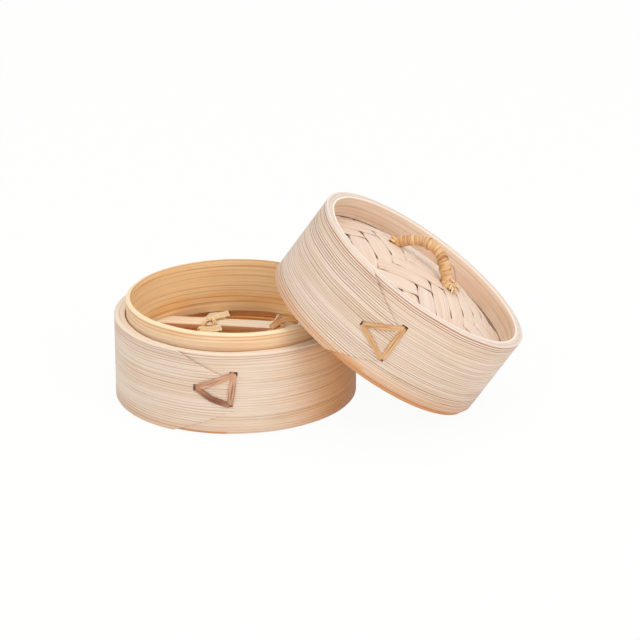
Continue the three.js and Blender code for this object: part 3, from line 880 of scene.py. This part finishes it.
dull_rattan = rattan(
    "dull_rattan", pale=srgb(212, 166, 136), deep=srgb(184, 134, 106), shade=srgb(120, 74, 54),
    rough=0.6, edge=0.35,
)
stained_rattan = rattan(
    "stained_rattan", pale=srgb(176, 122, 92), deep=srgb(132, 82, 58), shade=srgb(70, 38, 26),
    rough=0.6, edge=0.5,
)
for number, sag in enumerate(tier_lace_sags):
    seeds = (number - tier_lace_shift / mm, number + tier_lace_shift / mm)
    strands = laced_pair(tier_stitch_corners, number, tier_radius, tier_lace_width,
                         tier_lace_thickness, tier_lace_shift, seeds, sag)
    piece(
        f"tier_laced_stitch_{number + 1}", gather(strands), tier_place, "tier",
        stained_rattan if sag else dull_rattan, "tier_stitch",
    )


# Lid, its place: it stands on its edge on the table and leans back on the tier's collar. Its
# middle comes from the top ring, and its axis from how far and which way it leans.
lean_tilt = math.radians(34.9)
lean_heading = math.radians(-3.9)
lid_ring_middle = 32.65 * mm
lid_axis = Vector((
    math.sin(lean_tilt) * math.cos(lean_heading),
    math.sin(lean_tilt) * math.sin(lean_heading),
    math.cos(lean_tilt),
))
downhill = (Vector((1, 0, 0)) - lid_axis * lid_axis.x).normalized()
across_lid = lid_axis.cross(downhill)
lid_turn = Matrix((downhill, across_lid, lid_axis)).transposed().to_4x4()
ring_low, ring_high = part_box("lid_top_ring")
lid_foot = (ring_low + ring_high) / 2 - lid_axis * lid_ring_middle
lid_place = Matrix.Translation(lid_foot) @ lid_turn


# Lid, outer hoop: a thinner bamboo strip wound a little over twice, with a longer tongue on its
# outer end, laced down like the tier's.
lid_radius = 48.75 * mm
lid_height = 37.5 * mm
lid_strip = 1.27 * mm
lid_wall = 2.85 * mm
lid_shaved = math.radians(48)
lid_tongue_end = math.radians(-6)
lid_top_cut = (25.2 * mm, 24 * mm)
lid_foot_cut = (21.3 * mm, 10 * mm)
lid_foot_rise = 2.4 * mm
lid_stitch_corners = [
    (math.radians(-23.9), 18 * mm, 2 * mm, 2.2 * mm),
    (math.radians(-7.4), 26.8 * mm, 2.6 * mm, 2.4 * mm),
    (math.radians(-7), 11.3 * mm, 1.6 * mm, 1.6 * mm),
]
lid_hole_depth = 8 * mm
lid_bamboo = bamboo(
    "lid_bamboo", pale=srgb(229, 212, 197), warm=srgb(224, 201, 178), line=srgb(140, 88, 44),
    edge=srgb(237, 223, 212), rim_line=srgb(160, 90, 44),
    width=lid_height, spacing=1 * mm, strength=1.2,
    # Painted shade on the inner turn's band below the outer turn's foot and along the bottom
    foot_shade=(308 * mm, 2.5 * mm, srgb(214, 152, 98), 0.6),
)
lid_hoop = piece(
    "lid_wound_hoop",
    hoop(lid_strip, lid_height, lid_radius, lid_wall, lid_shaved, lid_tongue_end, lid_top_cut,
         lid_foot_cut, lid_foot_rise),
    lid_place, "lid", lid_bamboo, "lid_outer_hoop",
)
pierce(lid_hoop, stitch_holes(lid_stitch_corners, lid_radius, lid_hole_depth, lid_place))


# Lid, inner rings: two thin bamboo strips bent inside the outer hoop. One lies above the edge of
# the woven panel and one below it, and they hold the panel between them.
lid_ring_outer = 46.05 * mm
lid_ring_thickness = 1 * mm
top_ring_foot = 27.9 * mm
lower_ring_foot = 8 * mm
lower_ring_top = 23.7 * mm
# The rings' near-white edge colour is partly the pale cut edge and partly a painted highlight on
# the lid's rim
ring_bamboo = bamboo(
    "lid_ring_bamboo", pale=srgb(232, 211, 192), warm=srgb(223, 195, 170),
    line=srgb(180, 134, 98), edge=srgb(252, 240, 228),
    width=lid_height - top_ring_foot, spacing=2.4 * mm, strength=0.3,
)
piece(
    "lid_bent_top_ring",
    lapped_ring(lid_ring_outer, lid_ring_thickness, top_ring_foot, lid_height,
                rounding=0.2 * mm, start=math.radians(-20)),
    lid_place, "lid", ring_bamboo, "lid_top_ring",
)
piece(
    "lid_bent_lower_ring",
    lapped_ring(lid_ring_outer, lid_ring_thickness, lower_ring_foot, lower_ring_top,
                rounding=0.2 * mm, start=math.radians(150)),
    lid_place, "lid", ring_bamboo, "lid_lower_ring",
)


# Lid, woven panel: two domed layers of thin split bamboo strips, each strip over three and under
# three, with a leaf liner between them.
panel_radius = 45.3 * mm
dome_radius = 44.3 * mm
panel_edge_depth = 10 * mm
panel_crown_depth = 0.1 * mm
panel_thickness = 3.5 * mm
weave_middle = 0.6 * mm
weave_lift = 0.42 * mm
weave_strip = 0.4 * mm
weave_crown = 0.1 * mm
weave_step = 0.9 * mm
edge_room = 1.2 * mm
least_width = 1.5 * mm
covered_from = 38 * mm
covered_to = 42 * mm
column_pitch = 8.3 * mm
column_start = -0.9 * mm
column_skew = -0.25
row_pitch = 7.9 * mm
row_start = -17.6 * mm
row_skew = 0.11
# Shares: two of the width of the strip that is crossed, and one of the strip's own width
dive_length = 0.13
narrow_length = 0.8
narrowing = 0.2


def dome(x, y):
    """Height of the panel's top surface"""
    share = min(1, math.hypot(x, y) / dome_radius)
    return lid_height - panel_crown_depth - (panel_edge_depth - panel_crown_depth) * share**2


def column_on_top(column, row):
    """The twill's order, three over and three under"""
    return (column - row) % 6 < 3


def over_and_under(crossing, on_top):
    """1 where a strip is on top and -1 where it is below, with a soft change between"""
    number = math.floor(crossing)
    share = crossing - number
    here = on_top(number)
    if share < dive_length:
        other, mix = on_top(number - 1), 0.5 - 0.5 * share / dive_length
    elif share > 1 - dive_length:
        other, mix = on_top(number + 1), 0.5 - 0.5 * (1 - share) / dive_length
    else:
        other, mix = here, 0
    return 2 * (here + (other - here) * soft_step(mix, 0, 1)) - 1


def near_dive(crossing, on_top):
    """1 where a strip goes from above to below, and less on both sides of it"""
    number = math.floor(crossing)
    share = crossing - number
    near = 0
    if on_top(number) != on_top(number - 1):
        near = 1 - share / narrow_length
    if on_top(number) != on_top(number + 1):
        near = max(near, 1 - (1 - share) / narrow_length)
    return max(0, near)


def chord(offset, skew):
    """Both ends of a line across the panel"""
    a = 1 + skew**2
    b = 2 * offset * skew
    c = offset**2 - panel_radius**2
    root = math.sqrt(max(0, b * b - 4 * a * c))
    return (-b - root) / (2 * a), (-b + root) / (2 * a)


def woven_strip(middle, width, skew, as_column, number, depth, flip):
    """One strip across the panel, bent over the dome and over and under the others"""
    low, high = chord(middle, skew)
    sheet = flat_sheet(1, width, max(6, round((high - low) / weave_step)), 5)
    for vert in sheet.verts:
        low, high = chord(middle + vert.co.y - width / 2, skew)
        vert.co.x = low + (high - low) * vert.co.x
    thicken(sheet, weave_strip, 0.1 * mm)

    def on_top(other):
        return column_on_top(number, other) if as_column else not column_on_top(other, number)

    def place_and_crossing(spot):
        """Where on the panel a point lies, and how many strips it has crossed"""
        side = middle + spot.y - width / 2 + skew * spot.x
        if as_column:
            return side, spot.x, (spot.x - row_skew * side - row_start) / row_pitch
        return spot.x, side, (spot.x - column_skew * side - column_start) / column_pitch

    sheet.loops.layers.uv.new("tuck_shade")
    grain = sheet.loops.layers.uv["grain"]
    tuck_shade = sheet.loops.layers.uv["tuck_shade"]
    for loop in map_points(sheet):
        loop[grain].uv.y += 0.31 * number + (0.173 if as_column else 0)
        x, y, crossing = place_and_crossing(loop.vert.co)
        # Painted shade: 1 where the strip passes under another, faded out near the panel's edge
        # where nothing covers it
        below = 0.5 - 0.5 * over_and_under(crossing, on_top)
        covered = 1 - soft_step(math.hypot(x, y), covered_from, covered_to)
        loop[tuck_shade].uv = (below * covered, 0)

    def rule(spot):
        x, y, crossing = place_and_crossing(spot)
        drawn_in = (spot.y - width / 2) * narrowing * soft_step(near_dive(crossing, on_top), 0, 1)
        if as_column:
            x -= drawn_in
        else:
            y -= drawn_in
        crown = weave_crown * bow(spot.y, width)
        wave = hand_wobble * noise.noise(Vector((spot.x * 90, number * 3.1, depth * 900)))
        lift = flip * (weave_lift * over_and_under(crossing, on_top) + crown) + wave
        return Vector((x, y, dome(x, y) - depth + weave_strip / 2 + spot.z + lift))
    return bend(sheet, rule)


def weave(depth, flip, seed):
    """A layer of strips both ways; flip is -1 for one whose outer side looks down"""
    draw = random.Random(seed)
    parts = []
    for as_column, pitch, start, skew in (
        (True, column_pitch, column_start, column_skew),
        (False, row_pitch, row_start, row_skew),
    ):
        for number in range(-8, 9):
            middle = start + pitch * (number + 0.5)
            width = pitch - draw.uniform(0.08, 0.25) * mm
            width = min(width, 2 * (panel_radius - edge_room - abs(middle)))
            if width > least_width:
                parts.append(woven_strip(middle, width, skew, as_column, number, depth, flip))
    return gather(parts)


def split_bamboo(name, pale, warm, line, shade):
    """Thin split bamboo: pale, with fine long fibres, each strip of its own tone, and a painted
    shade where it passes under another"""
    finish = Finish(bpy.data.materials.new(name))
    along, across = finish.grain()
    strip_tone = finish.clouds(along * 3, across * 9)
    fibres = finish.clouds(along * 14, across * 2100, 3)
    streaks = finish.clouds(along * 9, across * 900)
    tone = (strip_tone * 0.5 + streaks * 0.5).ramp(0.34, 0.66)
    skin = finish.blend(tone, pale, warm)
    skin = finish.blend(fibres.ramp(0.52, 0.75) * 0.4, skin, line)
    # Painted shade where the strip passes under another
    skin = finish.blend(finish.laid("tuck_shade").ramp(0.35, 0.9) * 0.9, skin, shade)
    finish.give("Base Color", skin)
    finish.give("Roughness", fibres * 0.2 + 0.5)
    finish.relief(fibres + streaks * 0.5, 0.06 * mm)
    return finish.owner


woven_bamboo = split_bamboo(
    "woven_bamboo", pale=srgb(236, 219, 205), warm=srgb(230, 204, 182),
    line=srgb(200, 144, 108), shade=srgb(158, 90, 50),
)
woven_top = piece(
    "lid_twill_top", weave(weave_middle, flip=1, seed=1), lid_place, "lid",
    woven_bamboo, "lid_woven_top",
)
piece(
    "lid_twill_underside", weave(panel_thickness - weave_middle, flip=-1, seed=2), lid_place,
    "lid", woven_bamboo, "lid_woven_underside",
)


def leaf_and_gap_shade():
    """The leaf liner, which only shows between the strips: its dark brown is partly the dry leaf's
    colour and partly painted shade in the gaps
    """
    finish = Finish(bpy.data.materials.new("leaf_and_gap_shade"), Roughness=0.8)
    spot = finish.add("ShaderNodeTexCoord", {}, {}, "Object")
    values = {"Vector": spot, "Scale": 300, "Detail": 4}
    veins = finish.add("ShaderNodeTexNoise", {}, values)
    finish.give("Base Color", finish.blend(veins, srgb(104, 60, 32), srgb(136, 86, 50)))
    finish.relief(veins, 0.2 * mm)
    return finish.owner


liner_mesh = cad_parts["lid_leaf_liner"].data
liner_mesh.materials.clear()
liner_mesh.materials.append(leaf_and_gap_shade())


# Handle: a rattan loop through two holes of the panel, tied below it, and wound close with a
# flat strip of rattan from one foot to the other.
handle_turn = math.radians(-30.5)
handle_middle = Vector((-1.3 * mm, 4.2 * mm, 0))
handle_span = 29.6 * mm
handle_rise = 10.4 * mm
handle_slimness = 2
handle_foot = 35.4 * mm
handle_core_radius = 1.25 * mm
handle_hole_radius = 2.2 * mm
handle_hole_depth = 20 * mm
handle_radius = 2 * mm
below_panel = 0.2 * mm
wrap_pitch = 1.85 * mm
wrap_width = 1.12 * wrap_pitch
wrap_thickness = 0.5 * mm
wrap_sunk = 0.15 * mm
hitch_thickness = 0.45 * mm
hitch_stand = 0.3 * mm
arch_steps = 800
handle_along = Vector((math.cos(handle_turn), math.sin(handle_turn), 0))
handle_across = Vector((-math.sin(handle_turn), math.cos(handle_turn), 0))


def handle_point(along, height):
    return handle_middle + handle_along * along + Vector((0, 0, height))


def foot_point(side, height=0):
    """On the middle line of the left foot, -1, or the right one, 1"""
    return handle_point(side * handle_span / 2, height)


def foot_holes(place):
    cutters = bmesh.new()
    for side in (-1, 1):
        foot = foot_point(side)
        peg = bmesh.ops.create_cone(
            cutters, cap_ends=True, segments=20, radius1=handle_hole_radius,
            radius2=handle_hole_radius, depth=handle_hole_depth,
        )["verts"]
        bmesh.ops.translate(cutters, vec=(foot.x, foot.y, dome(foot.x, foot.y)), verts=peg)
    cutters.transform(place)
    return cutters


pierce(woven_top, foot_holes(lid_place))


def arch(share):
    """The handle's middle line from its left foot, 0, to its right one, 1"""
    turn = math.pi * share
    rise = handle_rise * max(0, math.sin(turn)) ** handle_slimness
    return handle_point(-handle_span / 2 * math.cos(turn), handle_foot + rise)


def even_arch(count):
    """Points at even distances along the arch, and its length"""
    fine = [arch(step / arch_steps) for step in range(arch_steps + 1)]
    lengths = measured(fine)
    line = []
    for step in range(count + 1):
        number, share = stretch_at(lengths, lengths[-1] * step / count)
        line.append(fine[number].lerp(fine[number + 1], share))
    return line, lengths[-1]


def rod(points, across, radius, sides=12):
    """A round rod along points, made by rolling a flat sheet round them"""
    count = len(points) - 1
    sheet = flat_sheet(count, 1, count, sides)
    grain = sheet.loops.layers.uv.new("grain")
    reach = measured(points)[-1] / count
    for loop in map_points(sheet):
        spot = loop.vert.co
        loop[grain].uv = (spot.x * reach, spot.y * 2 * math.pi * radius)
    for vert in sheet.verts:
        place = round(vert.co.x)
        before, after = points[max(0, place - 1)], points[min(count, place + 1)]
        ahead = (after - before).normalized()
        up = across.cross(ahead).normalized()
        turn = 2 * math.pi * vert.co.y
        vert.co = points[place] + radius * (up * math.cos(turn) + across * math.sin(turn))
    bmesh.ops.remove_doubles(sheet, verts=sheet.verts, dist=0.001 * mm)
    open_edges = [edge for edge in sheet.edges if edge.is_boundary]
    bmesh.ops.holes_fill(sheet, edges=open_edges, sides=0)
    return sheet


def handle_loop():
    """The loop's middle line: the arch, down through the panel, and along below it"""
    bottoms = [dome(*foot_point(side).xy) - panel_thickness for side in (-1, 1)]
    below = min(bottoms) - handle_core_radius - below_panel
    corners = [arch(1), foot_point(1, below), foot_point(-1, below), arch(0)]
    return even_arch(60)[0] + rounded(corners, 2.2 * mm, 6)[1:-1]


handle_rattan = rattan(
    "handle_rattan", pale=srgb(234, 196, 148), deep=srgb(206, 152, 100),
    shade=srgb(134, 78, 40), rough=0.45, edge=0.45,
)
piece(
    "lid_rattan_loop", rod(handle_loop(), handle_across, handle_core_radius), lid_place, "lid",
    handle_rattan, "lid_handle_core",
)


def winding():
    """One flat strip wound close round the arch, each turn tucked under the next"""
    line_steps = 400
    line, length = even_arch(line_steps)
    turns = round(length / wrap_pitch)
    per_turn = 20
    once_round = 2 * math.pi * handle_radius
    sheet = flat_sheet(once_round * turns, wrap_width, turns * per_turn, 4)
    thicken(sheet, wrap_thickness, 0.12 * mm)

    def rule(spot):
        turned = spot.x / once_round
        travel = turned / turns * (length - wrap_width) + spot.y
        place = min(line_steps - 0.001, max(0, travel / length * line_steps))
        low = int(place)
        middle = line[low].lerp(line[low + 1], place - low)
        ahead = (line[min(line_steps, low + 2)] - line[max(0, low - 1)]).normalized()
        up = handle_across.cross(ahead)
        angle = 2 * math.pi * turned
        outwards = up * math.cos(angle) + handle_across * math.sin(angle)
        shingle = 0.16 * mm * spot.y / wrap_width
        loose = 0.2 * mm * noise.noise(Vector((turned * 1.3, 5.5, 2.2)))
        bulge = 0.3 * mm * bow(spot.y, wrap_width)
        swell = handle_radius + shingle + loose + bulge - wrap_sunk
        return middle + outwards * (swell + spot.z)
    return fold_grain(bend(sheet, rule), wrap_width)


def crossing_turn(share, slant, width):
    """A turn of the strip that crosses the winding at a slant, as in a half hitch"""
    steps = 24
    middle = arch(share)
    ahead = (arch(share + 0.01) - arch(share - 0.01)).normalized()
    up = handle_across.cross(ahead)
    points = []
    for step in range(steps + 1):
        angle = 2 * math.pi * step / steps
        outwards = up * math.cos(angle) + handle_across * math.sin(angle)
        drift = ahead * slant * math.cos(angle - 0.9)
        points.append(middle + outwards * (handle_radius + hitch_stand) + drift)
    return strap(points, [ahead] * len(points), width, hitch_thickness, start=share)


def loose_loop():
    """A thin end of the strip that stands out from the right side of the winding"""
    first, last = arch(0.66), arch(0.8)
    out = handle_along * 0.8 + handle_across * 0.5
    line = rounded([
        first + out * 1.6 * mm, first + out * 4.6 * mm + Vector((0, 0, 1.2 * mm)),
        last + out * 5 * mm + Vector((0, 0, 0.6 * mm)), last + out * 1.5 * mm,
    ], 2.4 * mm)
    return strap(line, [handle_across] * len(line), 0.7 * mm, 0.3 * mm)


piece(
    "lid_handle_winding", winding(), lid_place, "lid", handle_rattan,
    "lid_handle_wrap",
)
hitches = [
    crossing_turn(0.44, slant=0.7 * mm, width=1.1 * mm),
    crossing_turn(0.63, slant=1.8 * mm, width=1.3 * mm),
    crossing_turn(0.72, slant=-1.5 * mm, width=1.1 * mm),
    loose_loop(),
]
piece(
    "lid_handle_hitches", gather(hitches), lid_place, "lid", handle_rattan,
    "lid_handle_wrap",
)


# Handle, its feet: the strip's last turns lie round each leg where it enters the panel. At the
# right foot its end is split and left frayed.
binding_width = 1.25 * mm
binding_thickness = 0.45 * mm
binding_rise = 2.4 * mm
fray_thickness = 0.25 * mm


def binding(side, turns, frays, seed):
    draw = random.Random(seed)
    foot = foot_point(side)
    level = dome(foot.x, foot.y)
    points, sideways = [], []
    per_turn = 14
    steps = per_turn * turns
    for step in range(steps + 1):
        angle = 2 * math.pi * step / per_turn
        share = step / steps
        radius = (1.75 + 0.35 * (1 - share)) * mm + 0.12 * mm * math.sin(3 * angle + seed)
        outwards = Vector((math.cos(angle), math.sin(angle), 0))
        height = level + 0.5 * mm + binding_rise * share
        points.append(foot + outwards * radius + Vector((0, 0, height)))
        sideways.append(Vector((0, 0, 1)) + outwards * 0.25)
    parts = [strap(points, sideways, binding_width, binding_thickness, start=seed * 0.41)]
    for number in range(frays):
        angle = -2.2 + 3.2 * (number + draw.uniform(-0.3, 0.3)) / frays
        outwards = Vector((math.cos(angle), math.sin(angle), 0))
        reach = draw.uniform(2.6, 5.4) * mm
        start = foot + outwards * 1.5 * mm
        start.z = level + draw.uniform(1, 2.4) * mm
        end = foot + outwards * (1.4 * mm + reach)
        end.z = dome(end.x, end.y) + draw.uniform(0.4, 1.6) * mm
        middle = start.lerp(end, 0.5)
        middle.z += draw.uniform(0.8, 1.8) * mm
        tail = rounded([start, middle, end], 2 * mm)
        flat = [outwards.cross(Vector((0, 0, 1)))] * len(tail)
        wide = draw.uniform(0.7, 1.2) * mm
        parts.append(strap(tail, flat, wide, fray_thickness, taper=0.5, start=number * 0.7))
    return gather(parts)


for side, sign, turns, frays in (("left", -1, 2, 0), ("right", 1, 3, 8)):
    piece(
        f"lid_foot_binding_{side}", binding(sign, turns, frays, seed=turns * 5), lid_place,
        "lid", lash_rattan["left"], f"lid_handle_binding_{side}",
    )


# Lid stitch: golden rattan laced in a triangle through the tongue, the hoop and the lower ring,
# each side two strands that lie beside each other.
lid_lace_width = 1.1 * mm
lid_lace_thickness = 0.5 * mm
lid_lace_shift = 0.5 * mm
stitch_rattan = rattan(
    "stitch_rattan", pale=srgb(218, 174, 128), deep=srgb(198, 150, 102),
    shade=srgb(136, 86, 50), edge=0.15,
)
lid_strands = []
for number in range(3):
    seeds = (20 + number * 3, 21 + number * 3)
    lid_strands += laced_pair(lid_stitch_corners, number, lid_radius, lid_lace_width,
                              lid_lace_thickness, lid_lace_shift, seeds)
piece(
    "lid_laced_stitch", gather(lid_strands), lid_place, "lid", stitch_rattan,
    "lid_stitch",
)
